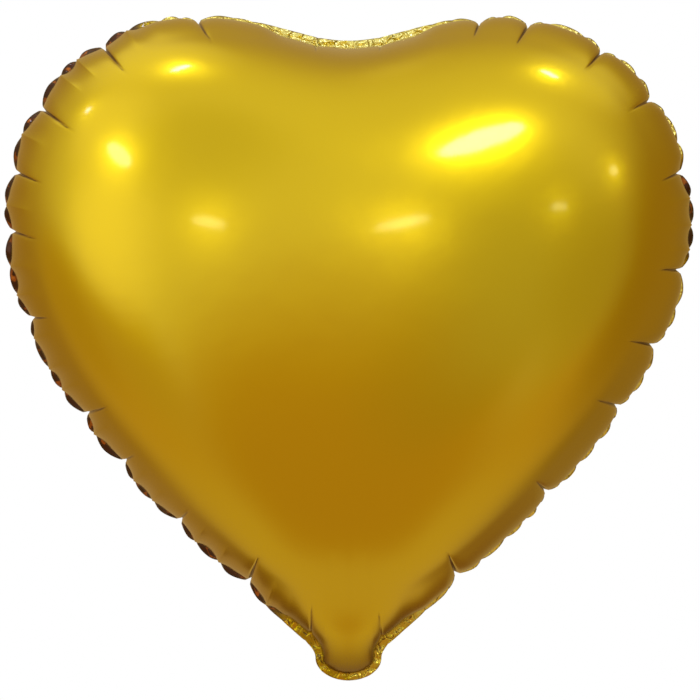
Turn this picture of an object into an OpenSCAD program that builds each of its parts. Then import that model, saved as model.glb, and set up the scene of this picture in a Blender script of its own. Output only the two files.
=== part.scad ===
// Heart-shaped foil balloon, inflated.
// Two sheets of metallised film are heat-sealed edge to edge and held apart by the gas, and
// a flat self-sealing valve runs from the tail up into the body.
// X is to the right, Y to the back and Z up. The seam lies in the plane Y = 0, and the
// origin is in the middle of the neck, where a ribbon is tied.

/* [Heart outline] */
// Width of the inflated heart at its widest
heart_w = 382; // [350:1:420]
// Height of the widest points above the neck
widest_z = 242; // [230:1:255]
// Distance from the middle to the top of each lobe
lobe_x = 82; // [74:1:92]
// Height of the tops of the lobes above the neck
lobe_z = 355.5; // [350:0.5:375]
// Height of the bottom of the cleft between the lobes
cleft_z = 341; // [325:1:345]
// Roundness of the bottom of the cleft
cleft_round = 24; // [16:1:32]
// Roundness of the lobes on the side of the cleft
lobe_in = 32; // [24:1:40]
// Roundness of the lobes on the outer side
lobe_out = 68; // [58:1:78]
// Roundness of the sides above the widest points
side_up = 60; // [50:1:70]
// Roundness of the sides below the widest points
side_down = 105; // [90:1:115]
// Angle of the lower sides above the neck
side_angle = 43; // [40:1:46]
// Roundness of the lower end of the sides
side_low = 50; // [40:1:65]

/* [Pillow] */
// Depth of the inflated balloon, front to back
heart_d = 168; // [140:1:190]
// Height of the fullest point above the neck
full_z = 195; // [185:1:205]
// Flatness of the middle of the pillow
pillow_flat = 2.3; // [2:0.1:2.6]
// How fast the pillow falls away towards the seam
pillow_edge = 0.52; // [0.46:0.01:0.6]
// How much faster it falls away towards the neck
neck_edge = 0.28; // [0.1:0.01:0.4]
// Angle from straight down at which that has mostly faded
neck_edge_angle = 20; // [15:1:30]
// How fast the heart shape fades to a round dome towards the middle
dome_fade = 1.5; // [1:0.1:2]
// Sharpness of the pillow's lower tip, above the tail
tip_sharp = 30; // [20:1:60]

/* [Film and seam] */
// Thickness of each foil sheet
film_t = 0.05; // [0.04:0.01:0.15]
// Width of the heat seal outside the gas space
seal_w = 4; // [3:0.5:5]
// Length of seam from one pucker to the next
pucker_pitch = 15; // [13:1:20]
// Depth of a small pucker in the seam
pucker_d = 1.8; // [0.6:0.1:2.4]
// How unevenly the puckers are spaced
pucker_uneven = 0.25; // [0:0.05:0.3]
// How far a small pucker runs into the sheet
pucker_l = 9; // [6:1:12]
// Depth of a long crease in the seam
crease_d = 4.5; // [2.5:0.5:6]
// How far a long crease runs into the sheet
crease_l = 24; // [16:1:30]

/* [Tail] */
// Width of the tail at the neck
neck_w = 36.5; // [34:0.5:42]
// Distance from the tail's side to the foot of the lower side of the heart
neck_flare = 9.5; // [8:0.5:12]
// Height of that foot above the neck
neck_rise = 12.5; // [11:0.5:15]
// Length of the tail below the neck
tail_l = 12.5; // [12:0.5:16]
// Depth of the swollen neck in front of the seam
neck_d = 10; // [6:0.5:11]
// Squareness of the swollen neck's lower end
neck_square = 2.6; // [2:0.1:3]
// How fast the swollen neck widens above the tail, against its flare
neck_spread = 1.8; // [1.2:0.1:2.2]
// Height at which the swollen neck has run out into the heart
neck_top = 40; // [30:1:50]

/* [Filling hole] */
// Diameter of the filling hole in the back sheet
fill_d = 10; // [6:0.5:10]
// Height of its middle above the neck
fill_z = 2.5; // [2:0.5:3]
// Distance from the hole to the height at which the back sheet leaves the flat tail
fill_rim = 2; // [1.5:0.5:4]

/* [Valve] */
// Distance from each side of the valve to the heat seal
valve_side = 2.5; // [2:0.5:4]
// Distance from the foot of the valve to the heat seal below it
valve_foot = 4; // [3:0.5:5]
// Cut across each corner at the foot of the valve
valve_corner = 4; // [3:0.5:5]
// Thickness of each of the valve's two clear films
valve_t = 0.05; // [0.03:0.01:0.08]
// Height of the top of the valve above the neck
valve_top = 110; // [80:1:130]
// Width of film left bare on each side of the release coat
coat_side = 4; // [3:0.5:6]
// Distance from the filling hole to the foot of the release coat
coat_foot = 1; // [0.5:0.5:2]
// Length of film left bare above the release coat
coat_head = 10; // [5:1:20]
// Thickness of the release coat
coat_t = 0.06; // [0.05:0.01:0.08]

/* [Hidden] */
foil_gold = [0.86, 0.66, 0.12];
clear_film = [0.85, 0.9, 0.95, 0.5];
coat_grey = [0.7, 0.72, 0.75, 0.8];

// Long creases, as shares of the way round from the cleft to the neck
creases_right = [0.03, 0.13, 0.18, 0.26, 0.33, 0.41, 0.51, 0.59, 0.66, 0.77, 0.89, 0.985];
creases_left = [0.03, 0.15, 0.25, 0.34, 0.41, 0.47, 0.56, 0.67, 0.73, 0.81, 0.9, 0.98];

// Right half of the outline, from the cleft to the foot of the tail, in X and Z
low_dir = [cos(side_angle), sin(side_angle)];
side_foot = [neck_w / 2 + neck_flare, neck_rise];
lobe_top = [lobe_x, lobe_z];
widest = [heart_w / 2, widest_z];
neck = [neck_w / 2, 0];
tail_side = 0.55 * tail_l;
tail_round = 0.27 * neck_w;
body_curves = [
    [[0, cleft_z], [cleft_round, cleft_z], lobe_top - [lobe_in, 0], lobe_top],
    [lobe_top, lobe_top + [lobe_out, 0], widest + [0, side_up], widest],
    [widest, widest - [0, side_down], side_foot + side_low * low_dir, side_foot],
    [side_foot, side_foot - 0.6 * neck_flare * low_dir, neck + [0, 0.4 * neck_rise], neck]];
tail_curve = [neck, neck - [0, tail_side], [tail_round, -tail_l], [0, -tail_l]];
curve_steps = 24;

function bezier(c, t) =
    pow(1 - t, 3) * c[0] + 3 * pow(1 - t, 2) * t * c[1] + 3 * (1 - t) * t * t * c[2] + pow(t, 3) * c[3];
function steps(c) = [for (i = [1 : curve_steps]) bezier(c, i / curve_steps)];
function running(p) =
    [for (i = 0, s = 0; i < len(p); i = i + 1, s = i < len(p) ? s + norm(p[i] - p[i - 1]) : s) s];

body_line = concat([body_curves[0][0]], [for (c = body_curves) each steps(c)]);
line = concat(body_line, steps(tail_curve));
run = running(line);
body_run = run[len(body_line) - 1];
half_run = run[len(line) - 1];
line_x = [for (i = [0 : len(line) - 1]) [run[i], line[i].x]];
line_z = [for (i = [0 : len(line) - 1]) [run[i], line[i].y]];

// A place on the outline, by the way round to it: its edge point and outward direction
function edge(s) = [lookup(s, line_x), lookup(s, line_z)];
function outward(s) =
    let (d = edge(min(s + 1, half_run)) - edge(max(s - 1, 0)))
    [-d.y, d.x] / norm(d);
function flip(v, on_left) = on_left ? [-v.x, v.y] : v;
function place(s) =
    let (on_left = s > half_run, r = on_left ? 2 * half_run - s : s)
    [flip(edge(r), on_left), flip(outward(r), on_left)];

// Puckers of one half, as [way round, dent, reach]: small ones fill in between the creases
golden_angle = 137.5;
function border(i, k, n) =
    k == 0 ? 0 : k == n ? 1 : (k + pucker_uneven * sin(golden_angle * (3 * i + k))) / n;
function puckers(creases) =
    let (ends = concat([0], creases, [1]))
    [for (i = [0 : len(ends) - 2])
        let (gap = (ends[i + 1] - ends[i]) * body_run, n = max(1, round(gap / pucker_pitch)))
        for (k = [0 : n - 1], third = [0 : 2])
            let (from = border(i, k, n), to = border(i, k + 1, n),
                 s = ends[i] * body_run + gap * (from + (to - from) * third / 3))
            third > 0 || s == 0 ? [s, 0, 0] : k == 0 ? [s, crease_d, crease_l] : [s, pucker_d, pucker_l]];
tail_steps = 6;
tail_places = [for (i = [0 : tail_steps]) [body_run + (half_run - body_run) * i / tail_steps, 0, 0]];
right_half = concat(puckers(creases_right), tail_places);
left_half = concat(puckers(creases_left), tail_places);
seam = concat(right_half,
    [for (i = [len(left_half) - 2 : -1 : 1]) [2 * half_run - left_half[i][0], left_half[i][1], left_half[i][2]]]);
function even_places(n) = [for (i = [0 : n - 1]) [2 * half_run * i / n, 0, 0]];
mid_seam = even_places(96);
inner_seam = even_places(48);

// Rings of the sheet: the places round it, and how far up the pillow they lie, as an angle.
// One of them crosses the tail between the filling hole and where the back sheet leaves the
// tail, so that the back sheet is flat round the hole.
tail_end = tail_l - seal_w;
fill_top = fill_z + fill_d / 2;
swell_z = fill_top + fill_rim;
flat_z = fill_top + 0.4 * fill_rim;
flat_angle = acos((full_z - flat_z) / (full_z + tail_end));
rings = concat(
    [for (a = [0, 7, 15, flat_angle]) [seam, a]],
    [for (a = [29, 35, 43, 52]) [mid_seam, a]],
    [for (a = [62, 74]) [inner_seam, a]]);
centre = [0, full_z];
valve_face = coat_t / 2 + valve_t;

// Height of the pillow on the ray from its centre along v, at the share rho of the way out.
// The front sheet's neck is half a tube with a round end, as wide as the gas space there.
function flat_point(v, rho) =
    let (heart_share = pow(rho, dome_fade))
    centre + v / norm(v) * rho * (heart_share * norm(v) + (1 - heart_share) * full_z);
function soft_min(a, b) = pow(pow(a, -tip_sharp) + pow(b, -tip_sharp), -1 / tip_sharp);
function near_neck(down) = down > 0 ? exp(-pow(acos(down) / neck_edge_angle, 2)) : 0;
function body_height(v, rho) =
    let (down = -v.y / norm(v),
         end = down > 0 ? soft_min(norm(v), (full_z - swell_z) / down) : norm(v),
         share = min(1, rho * norm(v) / end))
    heart_d / 2
    * pow(1 - pow(share, pillow_flat), pillow_edge + neck_edge * near_neck(down) * pow(share, 4));
function neck_side(z) = neck_w / 2 - seal_w + neck_spread * neck_flare * pow(max(0, z) / neck_rise, 2);
function neck_height(x, z) =
    let (across = pow(x / neck_side(z), 2), down = pow(max(0, -z) / tail_end, neck_square))
    neck_d * sqrt(max(0, 1 - across - down)) * min(1, max(0, (neck_top - z) / (neck_top - neck_rise)));
function front_height(v, rho) =
    let (flat = flat_point(v, rho))
    pow(pow(body_height(v, rho), 3) + pow(neck_height(flat.x, flat.y), 3), 1 / 3);
function height(v, rho, front) =
    rho == 1 ? 0 : max(front ? front_height(v, rho) : body_height(v, rho), valve_face);

// How much of the film's thickness lies along Y there: all of it where the sheet is flat
function upright(v, rho, front) =
    let (out = rho + 0.002,
         along = norm(flat_point(v, out) - flat_point(v, rho)),
         up = height(v, rho, front) - height(v, out, front))
    rho == 1 ? 1 : along / norm([up, along]);

// A point of the sheet's outer face, or of its inner face
function sheet_point(p, angle, front, inner) =
    let (at = place(p[0]), rho = cos(angle), weld = at[0] - seal_w * at[1], v = weld - centre,
         in = norm(v) * (1 - rho),
         dent = in < p[2] ? p[1] * pow(1 - in / p[2], 2) : 0,
         up = upright(v, rho, front),
         inset = dent + (inner ? film_t * sqrt(1 - up * up) : 0),
         flat = flat_point(v, rho) - at[1] * inset,
         rise = height(v, rho, front) + (inner ? 0 : film_t * up))
    [flat.x, front ? -rise : rise, flat.y];
function rim_point(p, front, inner) =
    let (at = place(p[0]), flat = at[0] - p[1] * at[1], y = inner ? 0 : film_t)
    [flat.x, front ? -y : y, flat.y];
function face_points(front, inner) = concat(
    [for (p = seam) rim_point(p, front, inner)],
    [for (r = rings, p = r[0]) sheet_point(p, r[1], front, inner)],
    [[0, (front ? -1 : 1) * (heart_d / 2 + (inner ? 0 : film_t)), full_z]]);

// Triangles between two rings of places, a outside b, that need not have equal counts
function after(ring, i) = i + 1 < len(ring) ? ring[i + 1][0] : i < len(ring) ? 2 * half_run : 4 * half_run;
function outer_next(a, b, i, j) = after(a, i) <= after(b, j);
function stitch(a, b, a0, b0) =
    [for (i = 0, j = 0, o = outer_next(a, b, 0, 0); i + j < len(a) + len(b);
          i = o ? i + 1 : i, j = o ? j : j + 1, o = outer_next(a, b, i, j))
        o ? [a0 + i % len(a), a0 + (i + 1) % len(a), b0 + j % len(b)]
          : [a0 + i % len(a), b0 + (j + 1) % len(b), b0 + j % len(b)]];
sizes = concat([len(seam)], [for (r = rings) len(r[0])]);
starts = [for (i = 0, s = 0; i <= len(sizes); s = s + (i < len(sizes) ? sizes[i] : 0), i = i + 1) s];
places = concat([seam], [for (r = rings) r[0]]);
last = len(sizes) - 1;
apex = starts[last] + sizes[last];
face_triangles = concat(
    [for (i = [0 : last - 1]) each stitch(places[i], places[i + 1], starts[i], starts[i + 1])],
    [for (i = [0 : sizes[last] - 1]) [starts[last] + i, starts[last] + (i + 1) % sizes[last], apex]]);

function turned(f) = [for (i = [len(f) - 1 : -1 : 0]) f[i]];
function moved(f, by) = [for (i = f) i + by];

module foil(front) {
    back_of = apex + 1;
    walls = concat(
        face_triangles,
        [for (f = face_triangles) moved(turned(f), back_of)],
        [for (i = [0 : len(seam) - 1])
            let (n = (i + 1) % len(seam))
            [i, back_of + i, back_of + n, n]]);
    polyhedron(
        points = concat(face_points(front, false), face_points(front, true)),
        faces = front ? walls : [for (f = walls) turned(f)]);
}

module filling_hole() {
    translate([0, -1, fill_z])
        rotate([-90, 0, 0])
            cylinder(d = fill_d, h = 2, $fn = 64);
}

module front_foil() {
    color(foil_gold) foil(true);
}

module back_foil() {
    color(foil_gold)
        difference() {
            foil(false);
            filling_hole();
        }
}

// A flat strip of film that stands in the tail, from y to y + t
module strip(w, foot, top, corner, y, t) {
    translate([0, y + t, 0])
        rotate([90, 0, 0])
            linear_extrude(t)
                polygon([[-w / 2 + corner, foot], [w / 2 - corner, foot], [w / 2, foot + corner],
                         [w / 2, top], [-w / 2, top], [-w / 2, foot + corner]]);
}

valve_w = neck_w - 2 * (seal_w + valve_side);
valve_z = valve_foot - tail_end;

module valve_front_film() {
    color(clear_film) strip(valve_w, valve_z, valve_top, valve_corner, -valve_face, valve_t);
}

module valve_back_film() {
    color(clear_film)
        difference() {
            strip(valve_w, valve_z, valve_top, valve_corner, coat_t / 2, valve_t);
            filling_hole();
        }
}

module valve_release_coat() {
    coat_w = valve_w - 2 * coat_side;
    coat_z = fill_top + coat_foot;
    color(coat_grey) strip(coat_w, coat_z, valve_top - coat_head, coat_side / 2, -coat_t / 2, coat_t);
}

front_foil();
back_foil();
valve_front_film();
valve_back_film();
valve_release_coat();
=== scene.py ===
# %% [markdown]
# # A foil balloon in the shape of a heart
# A foil balloon is two flat sheets of metallised film, heat-sealed edge to edge and blown up
# with gas. The film can't stretch, so while the middle swells the edge has to draw in, and
# the seal gathers into scallops and creases. That gathered edge is what the eye knows a foil
# balloon by, so most of this lesson is about it.
#
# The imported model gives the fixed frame: every piece made here goes where its node is.

# %% Load the frame
import bisect
import math
import random

import bmesh
import bpy
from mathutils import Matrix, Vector, noise


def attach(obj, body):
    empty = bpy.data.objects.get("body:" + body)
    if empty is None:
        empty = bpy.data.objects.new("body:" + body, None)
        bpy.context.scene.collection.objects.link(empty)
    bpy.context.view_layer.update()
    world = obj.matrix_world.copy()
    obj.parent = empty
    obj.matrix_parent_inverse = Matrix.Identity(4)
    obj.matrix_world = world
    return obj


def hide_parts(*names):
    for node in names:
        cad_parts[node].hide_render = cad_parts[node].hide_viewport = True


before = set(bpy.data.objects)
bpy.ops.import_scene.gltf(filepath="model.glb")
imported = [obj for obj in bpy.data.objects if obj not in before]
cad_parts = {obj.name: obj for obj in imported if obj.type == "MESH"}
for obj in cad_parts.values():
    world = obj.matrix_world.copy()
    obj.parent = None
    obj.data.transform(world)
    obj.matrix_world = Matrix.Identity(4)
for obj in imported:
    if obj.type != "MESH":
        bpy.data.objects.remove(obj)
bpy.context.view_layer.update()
print("nodes:", sorted(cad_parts))

# %% [markdown]
# ## The outline
# All lengths below are in millimetres, and a mesh is scaled to metres once, when it is done.
# Half of the outline is four Bezier curves, from the cleft over the lobe and down the side to
# the neck, and a fifth curve is half of the tail. A foil maker would draw it the same way. X
# is to the right, Z up, and the origin is in the middle of the neck.

# %% Half of the outline, from the cleft to the end of the tail
MM = 0.001
HEART_W = 382
WIDEST_Z = 242
LOBE_TOP = (82, 355.5)
CLEFT_Z = 341
SIDE_ANGLE = math.radians(43)
NECK_W = 36.5
NECK_RISE = 12.5
NECK_FLARE = 9.5
TAIL_L = 12.5
SEAL_W = 4
# How far the curves' handles reach, from the cleft down to the foot of the neck
CLEFT_HANDLE = 24
LOBE_INNER_HANDLE, LOBE_OUTER_HANDLE = 32, 68
WIDEST_UPPER_HANDLE, WIDEST_LOWER_HANDLE = 60, 105
FOOT_UPPER_HANDLE = 50
# The handles below the foot, as shares of the flare, the rise, the tail and the neck's width
FOOT_LOWER_SHARE, NECK_UPPER_SHARE, NECK_LOWER_SHARE, TAIL_END_SHARE = 0.6, 0.4, 0.55, 0.27


def half_outline():
    """The five curves of the right half, each as four points (x, z)."""
    low = Vector((math.cos(SIDE_ANGLE), math.sin(SIDE_ANGLE)))
    foot = Vector((NECK_W / 2 + NECK_FLARE, NECK_RISE))
    top = Vector(LOBE_TOP)
    widest = Vector((HEART_W / 2, WIDEST_Z))
    neck = Vector((NECK_W / 2, 0))
    return [
        [Vector((0, CLEFT_Z)), Vector((CLEFT_HANDLE, CLEFT_Z)),
         top - Vector((LOBE_INNER_HANDLE, 0)), top],
        [top, top + Vector((LOBE_OUTER_HANDLE, 0)),
         widest + Vector((0, WIDEST_UPPER_HANDLE)), widest],
        [widest, widest - Vector((0, WIDEST_LOWER_HANDLE)),
         foot + FOOT_UPPER_HANDLE * low, foot],
        [foot, foot - FOOT_LOWER_SHARE * NECK_FLARE * low,
         neck + Vector((0, NECK_UPPER_SHARE * NECK_RISE)), neck],
        [neck, neck - Vector((0, NECK_LOWER_SHARE * TAIL_L)),
         Vector((TAIL_END_SHARE * NECK_W, -TAIL_L)), Vector((0, -TAIL_L))],
    ]


curves = half_outline()
print(f"heart {HEART_W} mm wide, {LOBE_TOP[1] + TAIL_L} mm high with its tail")

# %% [markdown]
# The scallops and creases are spread along the seam, so its length has to be known at every
# point. The curves are cut into short straight steps, and the lengths of those are added up.

# %% Length along the outline
STEPS = 80
# The first four curves end at the neck, and the middle of the third is halfway down the side
TO_NECK = 4 * STEPS
TO_SIDE = 5 * STEPS // 2


def bezier(curve, t):
    """The point at the share t of a curve that is given by four points."""
    a, b, c, d = curve
    return (1 - t) ** 3 * a + 3 * (1 - t) ** 2 * t * b + 3 * (1 - t) * t * t * c + t ** 3 * d


line = [curves[0][0]] + [bezier(c, i / STEPS) for c in curves for i in range(1, STEPS + 1)]
run = [0.0]
for before, after in zip(line, line[1:]):
    run.append(run[-1] + (after - before).length)
BODY_RUN = run[TO_NECK]
HALF_RUN = run[-1]
FULL_RUN = 2 * HALF_RUN
print(f"seam: {BODY_RUN:.1f} mm from cleft to neck, {FULL_RUN:.1f} mm all round")

# %% [markdown]
# The seam is measured by the way round it, from the cleft down the right side, round the tail
# and up the left side. One function turns that length into a place and an outward direction.

# %% A place on the outline
TANGENT_STEP = 1.5


def on_half(s):
    """The point of the half outline at the length s along it."""
    i = min(max(bisect.bisect_right(run, s) - 1, 0), len(run) - 2)
    share = (s - run[i]) / (run[i + 1] - run[i])
    return line[i].lerp(line[i + 1], min(max(share, 0), 1))


def place(s):
    """The edge of the seal at s, and the direction out of the sheet there, as (x, z)."""
    s = s % FULL_RUN
    on_left = s > HALF_RUN
    r = FULL_RUN - s if on_left else s
    along = on_half(min(r + TANGENT_STEP, HALF_RUN)) - on_half(max(r - TANGENT_STEP, 0))
    point = on_half(r)
    out = Vector((-along.y, along.x)).normalized()
    if on_left:
        point = Vector((-point.x, point.y))
        out = Vector((-out.x, out.y))
    return point, out


def from_cleft(s):
    """The shorter way along the seam from the cleft to s."""
    return min(s, FULL_RUN - s)


def way_round(a, b):
    """The shorter way round the seam from a to b, negative where b lies before a."""
    return (b - a + HALF_RUN) % FULL_RUN - HALF_RUN


def ramp(x, start, end):
    """0 before start, 1 after end, and a smooth rise between them."""
    t = min(max((x - start) / (end - start), 0), 1)
    return t * t * (3 - 2 * t)


print("half the neck's width:", round(place(BODY_RUN)[0].x, 2), "mm")

# %% [markdown]
# ## Scallops and creases
# Where the seal has gathered, it makes a row of scallops with sharp cusps between them. Some
# cusps go on into the sheet as long creases. The creases are placed as shares of the way from
# the cleft to the neck, and between them the seal is cut into scallops of uneven width, from a
# seeded random generator. The scallops are wider on the left side. Next to the cleft and at
# the neck the creases are faint, and the scallops there are calm.

# %% Creases and ranges
CREASES_RIGHT = [0.03, 0.13, 0.18, 0.26, 0.33, 0.41, 0.51, 0.59, 0.66, 0.77, 0.89, 0.985]
CREASES_LEFT = [0.03, 0.15, 0.25, 0.34, 0.41, 0.47, 0.56, 0.67, 0.73, 0.81, 0.90, 0.98]
FAINT_BEFORE, CALM_AFTER, FAINT_AFTER = 0.12, 0.88, 0.95
SCALLOP_W_RIGHT, SCALLOP_W_LEFT = 13, 16
# A cusp that reaches further than this into the sheet counts as a long crease
LONG_REACH = 12
# Ranges to draw from. Widths and flaps are shares, and the rest is in millimetres.
WIDTHS, FLAPS = (0.6, 1.5), (0.65, 1.0)
CREASE_DEPTHS, CREASE_REACHES, CREASE_BENDS = (4.0, 5.2), (34, 48), (-2, 2)
FAINT_DEPTH, FAINT_REACHES = 1.2, (30, 38)
CUSP_DEPTHS, CALM_DEPTHS, CUSP_REACHES = (1.6, 2.8), (0.3, 0.6), (5, 9)
dice = random.Random(18)


class Cusp:
    """Where two scallops meet: how deep it is, how far up the sheet it goes, how it bends.

    It also holds how much of the seal shows in the next scallop, where that is tipped back.
    """

    def __init__(self, s, depth, reach, bend=0):
        self.s = s
        self.depth = depth
        self.reach = reach
        self.bend = bend
        self.is_long = reach > LONG_REACH
        self.flap = dice.uniform(*FLAPS)


print(f"{len(CREASES_RIGHT)} creases on the right, {len(CREASES_LEFT)} on the left")

# %% [markdown]
# Each side is made from the cleft to the neck. Between two creases, the scallops share the gap
# by drawn widths. The left side is then turned round, so that the cusps follow one another
# along the whole seam.

# %% Lay out the cusps


def crease_at(s, faint):
    """A cusp that goes on into the sheet as a long crease."""
    depth = FAINT_DEPTH if faint else dice.uniform(*CREASE_DEPTHS)
    reaches = FAINT_REACHES if faint else CREASE_REACHES
    return Cusp(s, depth, dice.uniform(*reaches), dice.uniform(*CREASE_BENDS))


def small_cusp_at(s, calm):
    """A cusp that ends just above the seal."""
    depths = CALM_DEPTHS if calm else CUSP_DEPTHS
    return Cusp(s, dice.uniform(*depths), dice.uniform(*CUSP_REACHES))


def half_cusps(creases, scallop_w):
    """The cusps of one side, from the cleft to the neck: at each crease, and in between."""
    cusps = []
    ends = [0] + creases + [1]
    for start, end in zip(ends, ends[1:]):
        gap = (end - start) * BODY_RUN
        count = max(1, round(gap / scallop_w))
        widths = [dice.uniform(*WIDTHS) for _ in range(count)]
        s = start * BODY_RUN
        faint = start < FAINT_BEFORE or start > FAINT_AFTER
        calm = faint or start > CALM_AFTER
        for k, width in enumerate(widths):
            if k > 0:
                cusps.append(small_cusp_at(s, calm))
            elif start > 0:
                cusps.append(crease_at(s, faint))
            s += gap * width / sum(widths)
    return cusps


cusps = half_cusps(CREASES_RIGHT, SCALLOP_W_RIGHT)
for cusp in half_cusps(CREASES_LEFT, SCALLOP_W_LEFT)[::-1]:
    cusp.s = FULL_RUN - cusp.s
    cusps.append(cusp)
cusp_places = [c.s for c in cusps]
long_creases = [c for c in cusps if c.is_long]
print(f"{len(cusps)} cusps, {len(long_creases)} of them long creases")

# %% [markdown]
# ## Columns
# The sheet's mesh is made of rings that run round it, and every ring has a point on each
# column. Columns crowd towards the cusps, where the film turns sharply. Nearer to the middle,
# past four angles up the swell, every other column ends, so their number is a multiple of
# sixteen. The longest gap between two cusps gives up what is left over. A gap wider than
# TAIL_GAP is the way round the tail, which has no scallop.

# %% Where the columns stand
COLUMN_GAP = 1.15
FEWEST_COLUMNS = 8
CROWDING = 0.9
TAIL_GAP = 35
CUSP_CLEAR = 2
HALVING_ANGLES = [30, 48, 64, 78]


def column_places():
    """Places along the seam, crowded towards the cusps at both ends of each scallop."""
    places = []
    marks = cusp_places + [cusp_places[0] + FULL_RUN]
    for start, end in zip(marks, marks[1:]):
        count = max(FEWEST_COLUMNS, round((end - start) / COLUMN_GAP))
        for j in range(count):
            u = j / count
            crowded = (1 - math.cos(math.pi * u)) / 2 if end - start < TAIL_GAP else u
            places.append(start + (end - start) * ((1 - CROWDING) * u + CROWDING * crowded))
    return places


column_run = column_places()
spare = len(column_run) % 2 ** len(HALVING_ANGLES)
gap_start, gap_end = max(zip(cusp_places, cusp_places[1:]), key=lambda ends: ends[1] - ends[0])
inside = [s for s in column_run if gap_start + CUSP_CLEAR < s < gap_end - CUSP_CLEAR]
for s in inside[1::max(1, len(inside) // (spare + 1))][:spare]:
    column_run.remove(s)
print(f"{len(column_run)} columns, one every {FULL_RUN / len(column_run):.2f} mm")

# %% [markdown]
# ## The pillow
# The height of the blown-up sheet over the seam falls away as a power of the share of the way
# out, which is close to the shape that a film which can't stretch takes under pressure. The
# rings of the sheet are round in the middle and heart-shaped at the seam. Above the tail the
# swell ends as if the two sides ran straight on, so that no kink shows where they turn.

# %% The heart's own swell
HEART_D = 168
CENTRE = Vector((0, 195))
# How flat the middle is, how steep the edge is, and how round the rings are in the middle
FLATNESS, EDGE_POWER, DOME_FADE = 2.3, 0.52, 1.5
# Near the neck the edge is less steep, within TIP_SPREAD degrees of straight down
NECK_POWER, NECK_FADE, TIP_SPREAD = 0.28, 4, 11
# The heart's own swell ends at the height SWELL_Z, softly in the dome and sharply at the weld
SWELL_Z, DOME_SHARP, TIP_SHARP, SHARP_FADE = 9.5, 8, 30, 6
SOLVE_STEPS = 4


def soft_min(a, b, sharp):
    """The smaller of two lengths, rounded off where they are nearly the same."""
    return (a ** -sharp + b ** -sharp) ** (-1 / sharp)


def reach_of(share, length):
    """How far out a share of the way is: round the middle of the dome, heart-shaped outside."""
    heart_share = share ** DOME_FADE
    return share * (heart_share * length + (1 - heart_share) * CENTRE.y)


side_out = Vector((math.sin(SIDE_ANGLE), -math.cos(SIDE_ANGLE)))
side_end = curves[3][0] - SEAL_W * side_out
side_gap = (side_end - CENTRE).dot(side_out)


def body_length(v):
    """From the centre to the weld along v. Past the neck's foot, the side's weld runs straight."""
    if CENTRE.y + v.y > side_end.y:
        return v.length
    ray = v.normalized()
    return side_gap / Vector((abs(ray.x), ray.y)).dot(side_out)


def body_height(v, rho):
    """Height on the ray from the centre along v, at the share rho of the way out."""
    down = -v.y / v.length
    share, near_neck = rho, 0
    if down > 0:
        sharp = DOME_SHARP + (TIP_SHARP - DOME_SHARP) * rho ** SHARP_FADE
        end = soft_min(body_length(v), (CENTRE.y - SWELL_Z) / down, sharp)
        reach = reach_of(rho, v.length)
        for _ in range(SOLVE_STEPS):
            share = min(1, share * reach / reach_of(share, end))
        near_neck = math.exp(-(math.degrees(math.acos(min(down, 1))) / TIP_SPREAD) ** 2)
    power = EDGE_POWER + NECK_POWER * near_neck * share ** NECK_FADE
    return HEART_D / 2 * (1 - share ** FLATNESS) ** power


print(f"{2 * body_height(Vector((0, 1)), 0)} mm deep in the middle")

# %% [markdown]
# At the tail the front sheet narrows like a funnel into a neck like half a tube, as the gas
# fills the tail in front of the valve. The funnel follows the weld on both sides. The back
# sheet stays flat over the valve.

# %% The funnel at the tail
# Its depth at the neck, how fast it deepens, the height where it ends, and how round it is
NECK_D, NECK_SLOPE, NECK_TOP = 10, 0.76, 60
NECK_ROUND, NECK_END_ROUND = 2.1, 2.6
LEAST_HALF_WIDTH = 0.1
# How far out the film at least lies, to leave room for the valve
VALVE_FACE = 0.13

# The weld from halfway down the side to the tail, as (height, half the width), bottom first
weld_line = []
for s in run[TO_SIDE:]:
    edge, out = place(s)
    inner = edge - SEAL_W * out
    if inner.y < 2 * NECK_TOP and (not weld_line or inner.y < weld_line[-1][0]):
        weld_line.append((inner.y, max(LEAST_HALF_WIDTH, inner.x)))
weld_line.reverse()


def half_width(z):
    """Half the width between the welds at the height z, near the tail."""
    i = min(max(bisect.bisect(weld_line, (z, 0)), 1), len(weld_line) - 1)
    (low_z, low_x), (high_z, high_x) = weld_line[i - 1], weld_line[i]
    return low_x + (high_x - low_x) * min(max((z - low_z) / (high_z - low_z), 0), 1)


def neck_height(x, z):
    """The funnel from the tail up into the heart: each level of it is half a plump ellipse."""
    ended = (max(0, -z) / (TAIL_L - SEAL_W)) ** NECK_END_ROUND
    aside = abs(x / half_width(z)) ** NECK_ROUND
    return (NECK_D + NECK_SLOPE * z) * math.sqrt(max(0, 1 - ended) * max(0, 1 - aside))


def smooth_point(v, rho, front):
    """A point of the sheet without its gathers: (x, z) and height over the seam."""
    flat = CENTRE + v.normalized() * reach_of(rho, v.length)
    if rho >= 1:
        return flat, 0.0
    height = body_height(v, rho)
    if front and flat.y < NECK_TOP:
        in_neck = 1 - ramp(flat.y, NECK_RISE, NECK_TOP)
        height += in_neck * (neck_height(flat.x, flat.y) - height)
    return flat, max(height, VALVE_FACE)


print(f"the neck is {neck_height(0, 0):.1f} mm deep and {2 * half_width(0):.1f} mm wide inside")

# %% [markdown]
# ## The flap of seal
# The seal is a flat rim outside the gas space. Down the left side, and for a stretch on the
# right, each scallop of it is tipped back, so that it shows as a dark crescent: its tilt mirrors
# the dark room, and it is also painted dark brown with painted orange glints. Elsewhere the
# swollen film hangs over it and only a thin line of it shows. At the cleft and round the tail
# it stands out whole, crinkled.

# %% How much of the seal shows
CLEFT_SHUTS = (34, 52)
# Stretches from the cleft towards the neck, as shares of the way. The left one runs on past it.
TAIL_OPENS = (0.93, 0.96)
TIPPED_RIGHT, TIPPED_LEFT = (0.39, 0.485), (0.19, 1.1)
TIP_OVER = 15


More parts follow.
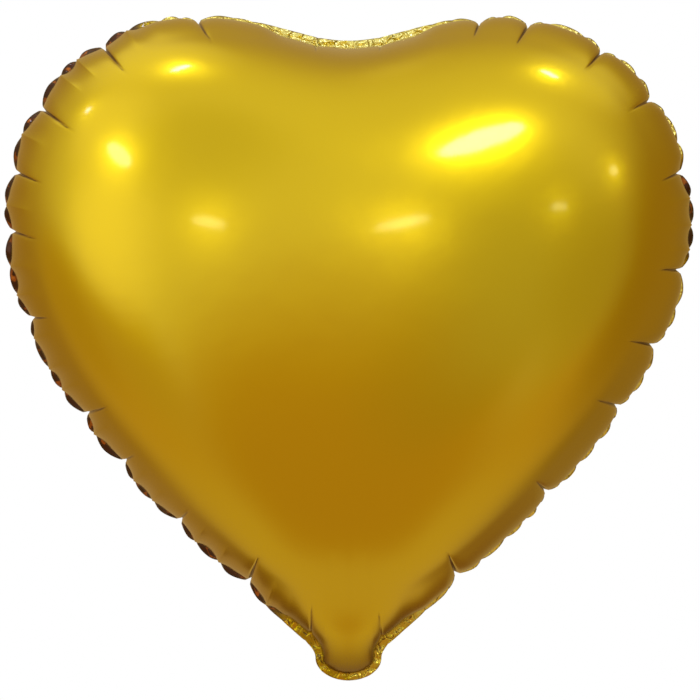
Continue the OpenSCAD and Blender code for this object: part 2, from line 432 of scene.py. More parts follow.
def along_body(s, shares):
    """0 before a stretch that is given as shares of the way to the neck, and 1 past it."""
    start, end = shares
    return ramp(from_cleft(s), start * BODY_RUN, end * BODY_RUN)


def openness(s):
    """1 where the whole seal shows, and 0 elsewhere."""
    return max(1 - ramp(from_cleft(s), *CLEFT_SHUTS), along_body(s, TAIL_OPENS))


def tipped(s):
    """1 where the seal is tipped back, and 0 elsewhere. It tips over within TIP_OVER mm."""
    shares = TIPPED_LEFT if s > HALF_RUN else TIPPED_RIGHT
    start, end = (share * BODY_RUN for share in shares)
    r = from_cleft(s)
    return ramp(r, start, start + TIP_OVER) - ramp(r, end, end + TIP_OVER)


print(f"the seal is open to {CLEFT_SHUTS[0]} mm from the cleft, and from "
      f"{(1 - TAIL_OPENS[1]) * BODY_RUN:.0f} mm above the neck")

# %% [markdown]
# ## Gathers
# A gather pushes the film in along its own normal. Near the seam that is almost level, and
# higher up it turns towards the front. A long crease is a crack about a millimetre wide in
# a wide valley with rounded shoulders, and both taper to nothing.

# %% Measures of the gathers
# How much less a scallop stands out at its ends than at its crown, and how square it is
CROWN_DROP, CROWN_POWER = 0.8, 2.4
# Where the film hides the seal: the thin line that shows, the seal's tilt, its level share
THIN_LINE, THIN_TILT, THIN_LEVEL = 1.5, math.radians(25), 0.9
# The level share of a flap that is tipped back, at its crown
TIPPED_LEVEL = 0.9
# How crinkled the seal is where only its thin line shows, and how much calmer it is at the tail
THIN_CRINKLE, TAIL_CALM = 0.6, 0.5
# Where the tail begins, as shares of the way to the neck, and how much painted shade with painted
# glints its open seal gets there
AT_TAIL, TAIL_SEAL_SHADE_RIGHT, TAIL_SEAL_SHADE_LEFT = (0.89, 0.97), 0.15, 0.35
# How dark the painted shade on the film over the tail's seal is, and how far up it goes
TAIL_DARK, TAIL_SHADE = 0.66, 45
# Half the width of a crack, of a valley and of a fold's painted dark line, as what is left at
# the far end of a crease and what comes to that at the seam
CRACK_W, VALLEY_W, FOLD_W = (0.8, 0.9), (4, 10), (0.9, 1.4)
CREASE_NEAR = sum(VALLEY_W) + CREASE_BENDS[1]
# The depth of a crack, and how deep a valley is where its crack is whole
CRACK_D, WHOLE_CRACK = 2.6, 3
# How deep a small cusp is where its painted dark line is whole, and what a faint crease's painted
# line gains
WHOLE_CUSP, LINE_GAIN = 2, 1
# Powers by which they taper up the sheet, and fall away to their sides
CUSP_TAPER, CRACK_TAPER, VALLEY_TAPER, LINE_TAPER = 1.5, 0.6, 1.6, 0.15
CUSP_SIDES, CRACK_SIDES, VALLEY_SIDES, LINE_SIDES = 2.4, 1.2, 2, 12
# How far up the swell hangs over the seal, from where to where it calms, and how full it is
SEAM_REACH, CALM_FROM, CALM_BY, FULLNESS, SWELL_POWER = 36, 1, 8, 1.7, 0.6


def half_wide(widths, left):
    """Half a crease's width, where left is 1 at the seam and 0 at the crease's far end."""
    return widths[0] + widths[1] * left


print("a valley's width at the seam:", 2 * half_wide(VALLEY_W, 1), "mm")

# %% [markdown]
# One column knows the cusps and creases near it, and what its bit of the seal does. From that
# it says how far the film is pushed in and hangs over. It also says what the film's colour
# needs to know: where the seal is crinkled, how much painted shade with painted glints the seal
# gets, and how much painted shade the film gets in a fold and over the tail's seal.

# %% What the gathers do at one column


class Column:
    """One place on the seam, with the cusps and creases near it."""

    def __init__(self, s):
        self.s = s
        self.edge, self.out = place(s)
        self.weld_ray = self.edge - SEAL_W * self.out - CENTRE
        i = bisect.bisect_right(cusp_places, s)
        first, second = cusps[i - 1], cusps[i % len(cusps)]
        width = (second.s - first.s) % FULL_RUN
        u = ((s - first.s) % FULL_RUN) / width
        self.small = []
        self.crown = 1
        if width < TAIL_GAP:
            self.crown = 1 - CROWN_DROP * abs(2 * u - 1) ** CROWN_POWER
            self.small = [(1 - 2 * share, cusp) for share, cusp in ((u, first), (1 - u, second))
                          if share < 0.5 and not cusp.is_long]
        near = [(way_round(c.s, s), c) for c in long_creases]
        self.near = [(gap, c) for gap, c in near if abs(gap) < CREASE_NEAR]
        self.open = openness(s)
        self.tipped = tipped(s) * (1 - self.open)
        self.at_tail = along_body(s, AT_TAIL)
        # The seal's painted shade with painted glints: full where it is tipped back, and partly on
        # the tail's open seal
        tail_seal_shade = TAIL_SEAL_SHADE_LEFT if s > HALF_RUN else TAIL_SEAL_SHADE_RIGHT
        self.seal_shade_and_glints = self.tipped + self.open * self.at_tail * tail_seal_shade
        thin = (1 - self.open) * (1 - self.tipped)
        self.crinkled = self.open * (1 - TAIL_CALM * self.at_tail) + THIN_CRINKLE * thin
        flap = TIPPED_LEVEL * self.crown * first.flap
        shown = SEAL_W * (self.open + self.tipped * flap) + thin * THIN_LINE * self.crown
        self.tilt = self.tipped * math.acos(min(1, flap)) + thin * THIN_TILT
        self.bare = SEAL_W * math.cos(self.tilt)
        self.overhang = self.bare - shown
        self.calm_overhang = thin * (THIN_LEVEL * SEAL_W - THIN_LINE)

    def push(self, far):
        """How far the film is pushed in, at a distance far from the seal, along the film."""
        total = 0
        for closeness, cusp in self.small:
            if far < cusp.reach:
                left = 1 - far / cusp.reach
                total += cusp.depth * left ** CUSP_TAPER * closeness ** CUSP_SIDES
        for left, aside, cusp in self.creases(far):
            crack = max(0, 1 - aside / half_wide(CRACK_W, left)) ** CRACK_SIDES
            valley = max(0, 1 - aside / half_wide(VALLEY_W, left)) ** VALLEY_SIDES
            total += CRACK_D * crack * left ** CRACK_TAPER * min(1, cusp.depth / WHOLE_CRACK)
            total += cusp.depth * valley * left ** VALLEY_TAPER
        return total

    def creases(self, far):
        """The long creases that reach this far: how much is left of each, and how far aside."""
        for gap, cusp in self.near:
            left = 1 - far / cusp.reach
            if left > 0:
                yield left, abs(gap - cusp.bend * (1 - left) ** 2), cusp

    def painted_shade(self, far):
        """Painted shade: 1 at the bottom of a fold, where the film would see only itself, and 0 on
        open film.

        The film that rises from the open seal at the tail gets painted shade too, for the seal
        that it sees.
        """
        depth = TAIL_DARK * self.at_tail * max(0, 1 - far / TAIL_SHADE) if far > 0 else 0
        for left, aside, cusp in self.creases(far):
            dark = max(0, 1 - aside / half_wide(FOLD_W, left)) * left ** LINE_TAPER
            depth = max(depth, dark * min(1, (cusp.depth + LINE_GAIN) / WHOLE_CRACK))
        for closeness, cusp in self.small:
            dark = max(0, 1 - far / cusp.reach) * closeness ** LINE_SIDES
            depth = max(depth, dark * min(1, cusp.depth / WHOLE_CUSP))
        return depth

    def hang(self, far):
        """How far the film stands out past its smooth shape, where it swells over the seal."""
        share = min(1, far / SEAM_REACH)
        calm = ramp(far, CALM_FROM, CALM_BY)
        over = self.overhang * (1 - calm) + self.calm_overhang * calm
        swell = FULLNESS * over * math.sin(math.pi * share) ** SWELL_POWER
        return (1 - share) * (SEAL_W - self.bare + swell)


columns = [Column(s) for s in column_run]
print(f"{sum(c.open > 0.5 for c in columns)} columns have an open seal, and "
      f"{sum(c.tipped > 0.5 for c in columns)} one that is tipped back")

# %% [markdown]
# ## Climbing a column
# For each column, the smooth sheet is followed from the weld to the middle, ring by ring. That
# gives the distance along the film, which the gathers need, and how steep the film is.

# %% The stops on one column
RINGS = 46
RING_CROWDING = 1.35
ring_angles = [90 * (i / RINGS) ** RING_CROWDING for i in range(1, RINGS)]


def climb(column, front):
    """One finished point for each ring, with its distance along the film."""
    v = column.weld_ray
    smooth = [smooth_point(v, math.cos(math.radians(a)), front) for a in [0] + ring_angles + [90]]
    stops = []
    far = 0
    for (lower, low), (flat, height), (upper, high) in zip(smooth, smooth[1:], smooth[2:]):
        far += math.hypot((flat - lower).length, height - low)
        rise, across = high - low, (upper - lower).length
        steep = rise / math.hypot(rise, across)
        push = column.push(far)
        moved = flat + column.out * (column.hang(far) - push * steep)
        up = max(height - push * math.sqrt(max(0, 1 - steep * steep)), VALVE_FACE)
        stops.append((Vector((moved.x, -up if front else up, moved.y)), far))
    return stops


print(f"{len(ring_angles)} rings, and {climb(columns[0], True)[-1][1]:.0f} mm of film from "
      "the first column's weld to the last ring")

# %% [markdown]
# The seal is followed the other way, from the weld out. Where it is open it is crinkled, which
# is smooth noise along the seam, and its outer edge runs on past the creases almost straight.

# %% A point of the seal
SEAL_STEPS = 4
SEAL_GAP = 0.06
STRAIGHTENED = 0.8
WAVE_L, WAVE_TURN, WAVE_SEED = 3.6, 1.1, 7.0
WAVE_H, OPEN_WAVE_H = 0.15, 1.3


def seal_point(column, share, front):
    """A point of the seal, at a share of its width out from the weld."""
    pushed = column.push(0) * (1 - STRAIGHTENED * column.open * share)
    out = column.hang(0) + SEAL_W * (share * math.cos(column.tilt) - 1) - pushed
    flat = column.edge + column.out * out
    y = SEAL_W * share * math.sin(column.tilt)
    wave = noise.noise(Vector((column.s / WAVE_L, WAVE_TURN * share, WAVE_SEED)))
    y += min(1, 2 * share) * wave * (WAVE_H + OPEN_WAVE_H * column.open)
    return Vector((flat.x, y - SEAL_GAP if front else y + SEAL_GAP, flat.y))


print(f"the seal is {SEAL_W} mm wide and has {SEAL_STEPS + 1} rings")

# %% [markdown]
# ## Building a sheet
# The sheet grows ring by ring, and each new ring is extruded from the last. Extruding keeps
# the rings and columns in order, which a grid cut to the outline wouldn't.

# %% Rings of the mesh


def ring_edges(ring):
    """The edges between the points of one ring, in the same order each time."""
    verts = set(ring)
    near = dict.fromkeys(e for v in ring for e in v.link_edges)
    return [e for e in near if verts.issuperset(e.verts)]


def extruded(mesh, ring):
    """The new ring that extruding a ring makes, in the same order."""
    made = bmesh.ops.extrude_edge_only(mesh, edges=ring_edges(ring))["geom"]
    made = {g for g in made if isinstance(g, bmesh.types.BMVert)}
    return [next(e.other_vert(v) for e in v.link_edges if e.other_vert(v) in made) for v in ring]


print(f"{len(HALVING_ANGLES)} of the rings halve the columns")

# %% [markdown]
# A circle with one vertex on each column is the rim. Each further ring is put in its place,
# first across the seal and then up the pillow. Four times a new circle with half the columns
# is bridged on instead, so that the middle isn't crowded, and the last ring is drawn together
# in a point. Each vertex also gets its column's values, for the film's colour.

# %% One sheet's mesh


def build_sheet(front):
    """The sheet's mesh in millimetres, and each vertex's place in it: (way round, way up)."""
    mesh = bmesh.new()
    crinkle, seal_shade_and_glints, painted_shade = [mesh.verts.layers.float.new(n) for n in ("crinkle", "seal_shade_and_glints", "painted_shade")]
    mapped = {}

    def put(ring, points, ups):
        for vert, column, point, up in zip(ring, stand, points, ups):
            vert.co = point
            vert[crinkle] = column.crinkled
            vert[seal_shade_and_glints] = column.seal_shade_and_glints
            # An open seal is too flat to get the painted shade of folds.
            vert[painted_shade] = column.painted_shade(up) if up > 0 else column.painted_shade(0) * (1 - column.open)
            mapped[vert] = (column.s, up)

    stand = list(columns)
    stops = [climb(column, front) for column in columns]
    ring = bmesh.ops.create_circle(mesh, segments=len(stand), radius=1)["verts"]
    for step in range(SEAL_STEPS, -1, -1):
        share = step / SEAL_STEPS
        if step < SEAL_STEPS:
            ring = extruded(mesh, ring)
        put(ring, [seal_point(c, share, front) for c in stand], [-SEAL_W * share] * len(stand))
    halvings = list(HALVING_ANGLES)
    for i, angle in enumerate(ring_angles):
        if halvings and angle > halvings[0]:
            halvings.pop(0)
            stand, stops = stand[::2], stops[::2]
            last = ring_edges(ring)
            ring = bmesh.ops.create_circle(mesh, segments=len(stand), radius=1)["verts"]
            put(ring, [s[i][0] for s in stops], [s[i][1] for s in stops])
            bmesh.ops.bridge_loops(mesh, edges=last + ring_edges(ring))
        else:
            ring = extruded(mesh, ring)
            put(ring, [s[i][0] for s in stops], [s[i][1] for s in stops])
    ring = extruded(mesh, ring)
    put(ring, [Vector()] * len(ring), [stops[0][-1][1]] * len(ring))
    apex = Vector((0, (-1 if front else 1) * HEART_D / 2, CENTRE.y))
    bmesh.ops.pointmerge(mesh, verts=ring, merge_co=apex)
    print(f"{'front' if front else 'back'} sheet: {len(mesh.verts)} points")
    return mesh, mapped


# %% [markdown]
# The back sheet has the hole that the balloon is filled through, low in the tail. The faces
# over it go, and the ragged edge that is left is drawn onto the circle.

# %% The filling hole
FILL_R = 5
FILL_Z = 2.5


def cut_filling_hole(mesh):
    """Opens the sheet round an axis that runs from front to back."""
    middle = Vector((0, 0, FILL_Z))

    def off_axis(point):
        return Vector((point.x - middle.x, 0, point.z - middle.z))

    over = [f for f in mesh.faces if off_axis(f.calc_center_median()).length < FILL_R]
    before = {e for e in mesh.edges if e.is_boundary}
    bmesh.ops.delete(mesh, geom=over, context="FACES")
    rim = {v for e in mesh.edges if e.is_boundary and e not in before for v in e.verts}
    for vert in rim:
        aside = off_axis(vert.co)
        vert.co += aside.normalized() * FILL_R - aside
    print(f"filling hole: {len(over)} faces cut, {len(rim)} points on its edge")


# %% [markdown]
# The way round and the way up also become the sheet's UV map, in metres, so that a pattern in
# the film can follow the seam. The film gets its thickness from a Solidify modifier.

# %% Finish a sheet
FILM_T = 0.05


def add_seam_map(mesh, mapped):
    """Writes the way round and the way up as a UV map, with no jump inside a face."""
    uv = mesh.loops.layers.uv.new("seam")
    for face in mesh.faces:
        face.smooth = True
        places = [mapped[loop.vert] for loop in face.loops]
        for loop, (s, up) in zip(face.loops, places):
            s += FULL_RUN * round((places[0][0] - s) / FULL_RUN)
            loop[uv].uv = (s * MM, up * MM)


def make_sheet(name, front):
    """A whole sheet as an object in metres, with its outer side facing out."""
    mesh, mapped = build_sheet(front)
    add_seam_map(mesh, mapped)
    if not front:
        cut_filling_hole(mesh)
    bmesh.ops.scale(mesh, vec=(MM, MM, MM), verts=mesh.verts)
    bmesh.ops.recalc_face_normals(mesh, faces=mesh.faces)
    middle = max(mesh.faces, key=lambda f: abs(f.calc_center_median().y))
    if (middle.normal.y < 0) != front:
        bmesh.ops.reverse_faces(mesh, faces=mesh.faces)
    data = bpy.data.meshes.new(name)
    mesh.to_mesh(data)
    mesh.free()
    piece = bpy.data.objects.new(name, data)
    bpy.context.scene.collection.objects.link(piece)
    film = piece.modifiers.new("film", "SOLIDIFY")
    film.thickness = FILM_T * MM
    film.offset = -1
    print(f"{name}: {len(data.polygons)} faces")
    return piece


front_skin = make_sheet("front_skin", True)
back_skin = make_sheet("back_skin", False)

# %% [markdown]
# ## Helpers for materials
# Colours are written as sRGB hex, as a paint chart would give them, and turned into the linear
# values that the renderer uses. One short function adds a node with its settings and links.

# %% Colours and nodes
# The Mix node's sockets for colours have the same names as those for numbers, so they go by
# their places.
MIX_FIRST, MIX_SECOND, MIX_RESULT = 6, 7, 2


def linear(hex_colour):
    """An sRGB hex colour as linear RGBA."""
    parts = [int(hex_colour[i:i + 2], 16) / 255 for i in (1, 3, 5)]
    return [p / 12.92 if p <= 0.04045 else ((p + 0.055) / 1.055) ** 2.4 for p in parts] + [1]


def add_node(tree, kind, inputs=None, **settings):
    """Adds a node, with its settings, and with a value or a link for each named input."""
    node = tree.nodes.new(kind)
    for name, value in settings.items():
        setattr(node, name, value)
    for name, value in (inputs or {}).items():
        if isinstance(value, bpy.types.NodeSocket):
            tree.links.new(value, node.inputs[name])
        else:
            node.inputs[name].default_value = value
    return node


def new_material(name):
    """An empty material, and its node tree."""
    material = bpy.data.materials.new(name)
    material.use_nodes = True
    material.node_tree.nodes.clear()
    return material, material.node_tree


def math_node(tree, operation, a, b=0.0):
    return add_node(tree, "ShaderNodeMath", {0: a, 1: b}, operation=operation).outputs[0]


def eased(tree, value, start, end, top=1.0):
    """0 at start, top at end, and a smooth step between them."""
    return add_node(tree, "ShaderNodeMapRange", {
        "Value": value, "From Min": start, "From Max": end, "To Min": 0.0, "To Max": top},
        interpolation_type="SMOOTHSTEP").outputs[0]


def mixed(tree, share, first, second):
    """A colour between two, each of which is a hex colour, a linear colour or a socket."""
    first, second = (linear(c) if isinstance(c, str) else c for c in (first, second))
    colours = {MIX_FIRST: first, MIX_SECOND: second}
    node = add_node(tree, "ShaderNodeMix", {0: share, **colours}, data_type="RGBA")
    return node.outputs[MIX_RESULT]


def attribute(tree, name):
    """A value that the columns wrote on the vertices."""
    return add_node(tree, "ShaderNodeAttribute", attribute_name=name).outputs["Fac"]


def place_in_piece(tree):
    """Where a point is in its own piece, in metres."""
    return add_node(tree, "ShaderNodeTexCoord").outputs["Object"]


print("a mid grey in linear values:", round(linear("#808080")[0], 3))

# %% [markdown]
# ## Gold foil
# The real film is nylon with a vapour of aluminium on it and a yellow lacquer over that. The
# metal mirrors the room softly, because the vapour coat has a slight haze, and the lacquer adds
# a thin sharp gloss with no colour of its own, so a lamp shows as a white core in a wide
# golden glow. The gold is a metal's base colour, and the lacquer is a coat.
#
# Four things are added to that. Fine ripples run up from the seam. Slow swells, a fraction of
# a millimetre high, bend the mirror image, as film under pressure is never quite smooth. The
# open seal is crumpled in facets. It is painted paler there: partly the pale cut edge of the
# film, partly a painted sheen for the glitter of crumpled foil. Where the seal is tipped back,
# and partly on the tail's open seal, it is painted dark brown with painted orange glints: a
# painted shade and painted highlights for film that would mirror only itself and the dark
# behind. The bottom of a fold and the film over the tail's seal get a painted brown shade. The
# swells go by the place in the piece, and the rest by the seam map and by what the columns wrote
# on the vertices.

# %% Patterns and colours of the film
RIPPLE_W, RIPPLE_L, RIPPLE_H, RIPPLE_REACH = 3.5, 16, 0.3, 22
SWELL_W, SWELL_H = 45, 0.3
CRUMPLE_W, CRUMPLE_H = 5.5, 5.0
# The paler gold is partly the pale cut edge of the film and partly a painted sheen for the glitter
# of crumpled foil
GOLD, PALE_EDGE_AND_SHEEN_GOLD = "#CFB204", "#E4D88C"
# Painted shade and painted orange glints for the tipped seal and the tail's seal, and a painted
# brown shade for folds
SEAL_SHADE_BROWN, GLINT_ORANGE, FOLD_SHADE_BROWN = "#3C1206", "#B86414", "#5C2C08"
# Where a painted glint or a fold's painted shade starts, where it is full, and how strong it is
# then
GLINT_RANGE, FOLD_SHADE_RANGE = (0.52, 0.66, 0.7), (0.2, 0.75, 0.95)
# The painted shade hides the paler gold: a seal with half the full painted shade shows none of it
SHADE_COVERS_SHEEN = 2.0
VAPOUR_HAZE, LACQUER_HAZE, LACQUER_WEIGHT = 0.25, 0.08, 0.6


def bumped(tree, height, distance, normal=None):
    """The normal of a surface that a pattern raises by up to a distance in millimetres."""
    inputs = {"Height": height, "Strength": 1.0, "Distance": distance * MM}
    if normal is not None:
        inputs["Normal"] = normal
    return add_node(tree, "ShaderNodeBump", inputs).outputs[0]


print("gold", GOLD, "is", [round(c, 3) for c in linear(GOLD)[:3]])

# %% [markdown]
# The patterns come first, then the normal that they bend, and last the colour: gold, paler where
# the seal is crumpled (its pale cut edge and a painted sheen), painted shade with painted glints
# on the tipped seal and at the tail, and a painted brown shade in the folds.

# %% The film's material


def metallised_film():
    material, tree = new_material("gold_lacquered_metallised_film")
    seam = add_node(tree, "ShaderNodeUVMap", uv_map="seam").outputs[0]
    up = add_node(tree, "ShaderNodeSeparateXYZ", {0: seam}).outputs[1]
    on_seal = math_node(tree, "LESS_THAN", up, 0.0)

    stretched = add_node(tree, "ShaderNodeMapping", {
        "Vector": seam, "Scale": (1 / (RIPPLE_W * MM), 1 / (RIPPLE_L * MM), 1)}).outputs[0]
    ripples = add_node(tree, "ShaderNodeTexNoise", {
        "Vector": stretched, "Scale": 1.0, "Detail": 3.0}, noise_dimensions="2D").outputs[0]
    near_seam = eased(tree, up, RIPPLE_REACH * MM, 0.0)
    swells = add_node(tree, "ShaderNodeTexNoise", {
        "Vector": place_in_piece(tree), "Scale": 1 / (SWELL_W * MM), "Detail": 2.0}).outputs[0]
    crumples = add_node(tree, "ShaderNodeTexNoise", {
        "Vector": seam, "Scale": 1 / (CRUMPLE_W * MM), "Detail": 1.5, "Distortion": 0.6},
        noise_dimensions="2D").outputs[0]
    ridges = math_node(tree, "ABSOLUTE", math_node(tree, "SUBTRACT", crumples, 0.5))
    crushed = math_node(tree, "MULTIPLY", attribute(tree, "crinkle"), on_seal)

    normal = bumped(tree, swells, SWELL_H)
    normal = bumped(tree, math_node(tree, "MULTIPLY", ripples, near_seam), RIPPLE_H, normal)
    normal = bumped(tree, math_node(tree, "MULTIPLY", ridges, crushed), CRUMPLE_H, normal)

    # Painted shade with painted orange glints on the tipped seal and the tail's open seal
    seal_shade_and_glints = math_node(tree, "MULTIPLY", attribute(tree, "seal_shade_and_glints"), on_seal)
    covered = math_node(tree, "MULTIPLY", seal_shade_and_glints, SHADE_COVERS_SHEEN)
    # Paler gold where the seal is crumpled: partly its pale cut edge, partly a painted sheen
    pale_edge_and_sheen = math_node(tree, "MAXIMUM", math_node(tree, "SUBTRACT", crushed, covered))
    glints = mixed(tree, eased(tree, crumples, *GLINT_RANGE), SEAL_SHADE_BROWN, GLINT_ORANGE)
    # Painted brown shade in the folds and on the film over the tail's seal
    fold_shade = eased(tree, attribute(tree, "painted_shade"), *FOLD_SHADE_RANGE)
    colour = mixed(tree, seal_shade_and_glints, mixed(tree, pale_edge_and_sheen, GOLD, PALE_EDGE_AND_SHEEN_GOLD), glints)
    film = add_node(tree, "ShaderNodeBsdfPrincipled", {
        "Base Color": mixed(tree, fold_shade, colour, FOLD_SHADE_BROWN), "Metallic": 1.0,
        "Roughness": VAPOUR_HAZE, "Coat Weight": LACQUER_WEIGHT,
        "Coat Roughness": LACQUER_HAZE, "Normal": normal})
    add_node(tree, "ShaderNodeOutputMaterial", {"Surface": film.outputs[0]})
    return material


gold_film = metallised_film()
for skin in (front_skin, back_skin):
    skin.data.materials.append(gold_film)
print("gold film on both sheets")

# %% [markdown]
# ## The valve's films
# Inside the tail lie two lips of clear polyethylene film, with a printed coat between them
# that keeps the sealing bar from welding them together. They are flat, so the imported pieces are
# right as they are, and only get their finish here. The film is milky and slightly wavy, as
# blown polyethylene is, and the coat is a matt grey ink that has dried unevenly.

# %% Clear film and release coat
HAZE_W, HAZE_H = 6, 0.1
GRAIN_W, GRAIN_H = 0.8, 0.02


def polyethylene_film():
    material, tree = new_material("clear_polyethylene_film")
    haze = add_node(tree, "ShaderNodeTexNoise", {
        "Vector": place_in_piece(tree), "Scale": 1 / (HAZE_W * MM), "Detail": 3.0}).outputs[0]
    roughness = add_node(tree, "ShaderNodeMapRange", {
        "Value": haze, "From Min": 0.3, "From Max": 0.7, "To Min": 0.12, "To Max": 0.3}).outputs[0]
    film = add_node(tree, "ShaderNodeBsdfPrincipled", {
        "Base Color": linear("#EEF1F3"), "Roughness": roughness, "Transmission Weight": 0.85,
        "Normal": bumped(tree, haze, HAZE_H)})
    add_node(tree, "ShaderNodeOutputMaterial", {"Surface": film.outputs[0]})
    return material


def release_ink():
    material, tree = new_material("matt_release_ink")
    grain = add_node(tree, "ShaderNodeTexNoise", {
        "Vector": place_in_piece(tree), "Scale": 1 / (GRAIN_W * MM), "Detail": 4.0}).outputs[0]
    ink = add_node(tree, "ShaderNodeBsdfPrincipled", {
        "Base Color": mixed(tree, eased(tree, grain, 0.35, 0.65), "#AEB2B6", "#C6C9CC"),
        "Roughness": 0.8, "Normal": bumped(tree, grain, GRAIN_H)})
    add_node(tree, "ShaderNodeOutputMaterial", {"Surface": ink.outputs[0]})
    return material


def refinish(node, material):
    """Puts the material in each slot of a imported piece."""
    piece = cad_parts[node]
    if not piece.material_slots:
        piece.data.materials.append(material)
    for holder in piece.material_slots:
        holder.material = material


clear_film = polyethylene_film()
refinish("valve_front_film", clear_film)
refinish("valve_back_film", clear_film)
refinish("valve_release_coat", release_ink())
print("valve films refinished")

# %% [markdown]
# ## Pieces and the frame
# Both sheets are part of the one body. Each stands for the imported sheet, which is hidden, and
# carries the gold film. Each was cut from flat film, 457 mm wide and 440 mm high, with an area
# of 0.141 square metres inside that.

# %% Ride and replace
for skin, node in ((front_skin, "front_foil"), (back_skin, "back_foil")):
    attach(skin, "root")
    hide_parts(node)
print("pieces:", front_skin.name, back_skin.name)

# %% [markdown]
# ## Camera
# The balloon is seen square from the front, from more than two and a half metres away. The
# long lens keeps the outline close to its true shape. Lengths from here on are in metres, but
# for patterns and the lens.

# %% The camera
CAMERA_WAY = 2.6
FRAME_W = 0.3867
FRAME_X, FRAME_Z = 0.00083, 0.1701
SENSOR_W = 36
camera_data = bpy.data.cameras.new("camera")
camera_data.sensor_width = SENSOR_W
camera_data.lens = SENSOR_W * CAMERA_WAY / FRAME_W
camera = bpy.data.objects.new("camera", camera_data)
camera.location = (FRAME_X, -CAMERA_WAY, FRAME_Z)
camera.rotation_euler = (math.radians(90), 0, 0)
bpy.context.scene.collection.objects.link(camera)
bpy.context.scene.camera = camera
print(f"lens {camera_data.lens:.0f} mm")

# %% [markdown]
# ## World
# The background is white to the camera, and to a mirror or a clear film, while matt surfaces
# get a plain pale grey, so that a colour looks as it is written.

# %% The world
world = bpy.data.worlds.new("studio")
bpy.context.scene.world = world
world.use_nodes = True
world.node_tree.nodes.clear()
tree = world.node_tree
path = add_node(tree, "ShaderNodeLightPath")
seen = math_node(tree, "MAXIMUM", path.outputs["Is Camera Ray"], path.outputs["Is Glossy Ray"])
seen = math_node(tree, "MAXIMUM", seen, path.outputs["Is Transmission Ray"])
room = add_node(tree, "ShaderNodeBackground", {"Color": linear("#EAEAEA"), "Strength": 1})
white = add_node(tree, "ShaderNodeBackground", {"Color": linear("#FFFFFF"), "Strength": 1})
both = add_node(tree, "ShaderNodeMixShader", {0: seen, 1: room.outputs[0], 2: white.outputs[0]})
add_node(tree, "ShaderNodeOutputWorld", {"Surface": both.outputs[0]})
bpy.context.scene.view_settings.view_transform = "Standard"
print("world: white behind, pale grey light")

# %% [markdown]
# ## Lamps
# A foil balloon shows each lamp as a highlight, so each lamp is placed by the direction that
# its highlight mirrors. The large one to the upper right is a softbox, long and tilted. The
# others are smaller: a softbox to the left, three low strips in front, and four spots. The low
# lamps in front and to the right are warm, and the rest are cool, because a cool lamp keeps its
# core white where the gold adds to it. Sizes are given as angles seen from the balloon, so a
# highlight keeps its size however far away the lamps stand.

# %% The lamps
HEART = Vector((0, 0, 0.195))
LAMP_WAY = 1.8
COOL, WARM = (0.92, 1, 1.35), (0.96, 1, 0.55)


def toward(azimuth, elevation):
    """A direction from the balloon: azimuth 0 is to the front, 90 to the right."""
    a, e = math.radians(azimuth), math.radians(elevation)
    return Vector((math.sin(a) * math.cos(e), -math.cos(a) * math.cos(e), math.sin(e)))


def lamp(name, azimuth, elevation, size, radiance, colour, turn):
    """An elliptical lamp that faces the balloon, with its size as two angles in degrees."""
    data = bpy.data.lights.new(name, "AREA")
    data.shape = "ELLIPSE"
    data.size, data.size_y = (2 * LAMP_WAY * math.tan(math.radians(s / 2)) for s in size)
    data.color = colour
    data.energy = radiance * math.pi * data.size * data.size_y * math.pi / 4
    piece = bpy.data.objects.new(name, data)
    direction = toward(azimuth, elevation)
    piece.location = HEART + LAMP_WAY * direction
    piece.rotation_euler = direction.to_track_quat("Z", "Y").to_euler()
    piece.rotation_euler.rotate_axis("Z", math.radians(turn))
    bpy.context.scene.collection.objects.link(piece)


LAMPS = [
    # name, azimuth, elevation, size, radiance, colour, turn
    ("key_softbox", 24, 33, (20, 6), 13, COOL, 25),
    ("left_softbox", -49.9, 26.7, (11, 4), 7, COOL, -28),
    ("left_strip", -22, 12.4, (7, 1.6), 9.5, WARM, -9),
    ("middle_strip", 7.2, 12, (8, 1.7), 11, WARM, 17),
    ("right_strip", 40, 14.8, (5, 1.2), 9, WARM, 0),
    ("right_spot", 63.4, 21.4, (4, 2.6), 8, WARM, 0),
    ("top_left_spot", -56.5, 65.1, (2.5, 7), 20, COOL, 0),
    ("top_right_spot", 67.1, 57.7, (2.5, 6), 19, COOL, 0),
    ("side_spot", -78, 38.5, (2.5, 2.5), 12, COOL, 0),
]
for row in LAMPS:
    lamp(*row)
print(len(LAMPS), "lamps")

# %% [markdown]
# ## A room for the foil to mirror
# The rest of what the foil shows is the room: a pale ceiling, brown walls and a wooden table
# in front, with a brighter window to the left. A big ball round the balloon carries that as
# soft patches, each in its own direction, and a later one lies over those before it. Only
# mirrors see it, so it adds no light to anything matt, casts no shadow, and never hides the
# white background.

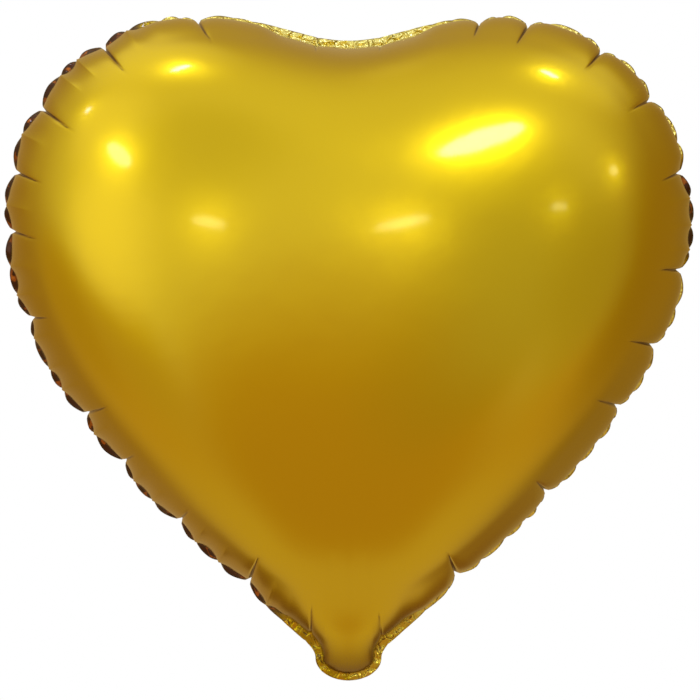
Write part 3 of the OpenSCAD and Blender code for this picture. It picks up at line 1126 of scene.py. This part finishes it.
# %% The tent
TENT_R = 3.0
CEILING = "#FFFAD0"
PATCHES = [
    # name, azimuth, elevation, whole within, gone beyond, colour, gain
    ("wall_behind", 180, 5, 35, 125, "#C4AC7C", 1),
    ("right_wall", 118, -12, 15, 84, "#A4864A", 1),
    ("left_wall", -130, -22, 15, 72, "#B08E58", 1),
    ("table_left", -72, -32, 5, 38, "#DCBA78", 1),
    ("table_right", 72, -32, 5, 38, "#DCBA78", 1),
    ("floor_below", 0, -90, 28, 55, "#E2C88C", 1),
    ("table", 0, -35, 25, 47, "#D0A860", 1),
    ("under_left", -143, -52, 3, 17, "#886230", 1),
    ("under_right", 150, -47, 4, 20, "#8C6430", 1),
    ("left_side", -82, -12, 4, 22, "#CCAC60", 1),
    ("left_ledge", -54, -15, 4, 20, "#D4B878", 1),
    ("middle_ledge", 20, -10, 4, 22, "#C4A664", 1),
    ("right_ledge", 92, -6, 12, 36, "#AE8E4C", 1),
    ("left_window", -51, 8, 3, 21, "#FFFAD0", 1.45),
    ("left_screen", -26, 31, 3, 20, "#ECE6B6", 1),
    ("right_screen", 32, 8, 4, 30, "#D2CA98", 1),
    ("right_shade", 54, -2, 4, 24, "#C8BA80", 1),
    ("top_left_glow", -92, 64, 5, 26, "#FFFAD0", 1.2),
    ("top_right_glow", 84, 53, 4, 20, "#FFFAD0", 1.08),
    ("left_glow", -62, 36, 4, 18, "#FFFAD0", 1.3),
]


def tent_cloth():
    """The ceiling's colour, with each patch laid over it in turn."""
    material, tree = new_material("tent_cloth")
    ray = add_node(tree, "ShaderNodeVectorMath", {0: place_in_piece(tree)},
                   operation="NORMALIZE").outputs[0]
    shade = CEILING
    for name, azimuth, elevation, inner, outer, colour, gain in PATCHES:
        along = add_node(tree, "ShaderNodeVectorMath", {
            0: ray, 1: toward(azimuth, elevation)}, operation="DOT_PRODUCT", label=name)
        share = eased(tree, along.outputs["Value"], math.cos(math.radians(outer)),
                      math.cos(math.radians(inner)))
        shade = mixed(tree, share, shade, [c * gain for c in linear(colour)])
    glow = add_node(tree, "ShaderNodeEmission", {"Color": shade, "Strength": 1})
    add_node(tree, "ShaderNodeOutputMaterial", {"Surface": glow.outputs[0]})
    return material


def stage_piece(name, mesh, material, where):
    """An object that stands in the scene and isn't part of the balloon."""
    data = bpy.data.meshes.new(name)
    mesh.to_mesh(data)
    mesh.free()
    data.materials.append(material)
    piece = bpy.data.objects.new(name, data)
    piece.location = where
    bpy.context.scene.collection.objects.link(piece)
    return piece


ball = bmesh.new()
bmesh.ops.create_uvsphere(ball, u_segments=64, v_segments=32, radius=TENT_R)
bmesh.ops.reverse_faces(ball, faces=ball.faces)
tent = stage_piece("tent", ball, tent_cloth(), HEART)
for ray_kind in ("camera", "diffuse", "shadow", "transmission"):
    setattr(tent, "visible_" + ray_kind, False)
print(f"tent with {len(PATCHES)} patches")

# %% [markdown]
# ## Floor
# A pale matt floor under the balloon keeps its soft shadow. The foil doesn't mirror it, because
# the tent already stands for what is below.

# %% The floor
FLOOR_R = 1.2
FLOOR_Z = -0.16
FLOOR_GRAIN_W = 25


def floor_paint():
    material, tree = new_material("pale_matt_paint")
    grain = add_node(tree, "ShaderNodeTexNoise", {
        "Vector": place_in_piece(tree), "Scale": 1 / (FLOOR_GRAIN_W * MM)}).outputs[0]
    paint = add_node(tree, "ShaderNodeBsdfPrincipled", {
        "Base Color": mixed(tree, grain, "#F2F0EC", "#EEECE8"), "Roughness": 0.8})
    add_node(tree, "ShaderNodeOutputMaterial", {"Surface": paint.outputs[0]})
    return material


disc = bmesh.new()
bmesh.ops.create_circle(disc, cap_ends=True, segments=96, radius=FLOOR_R)
floor = stage_piece("floor", disc, floor_paint(), (0, 0, FLOOR_Z))
floor.visible_glossy = False
print("floor at", FLOOR_Z)
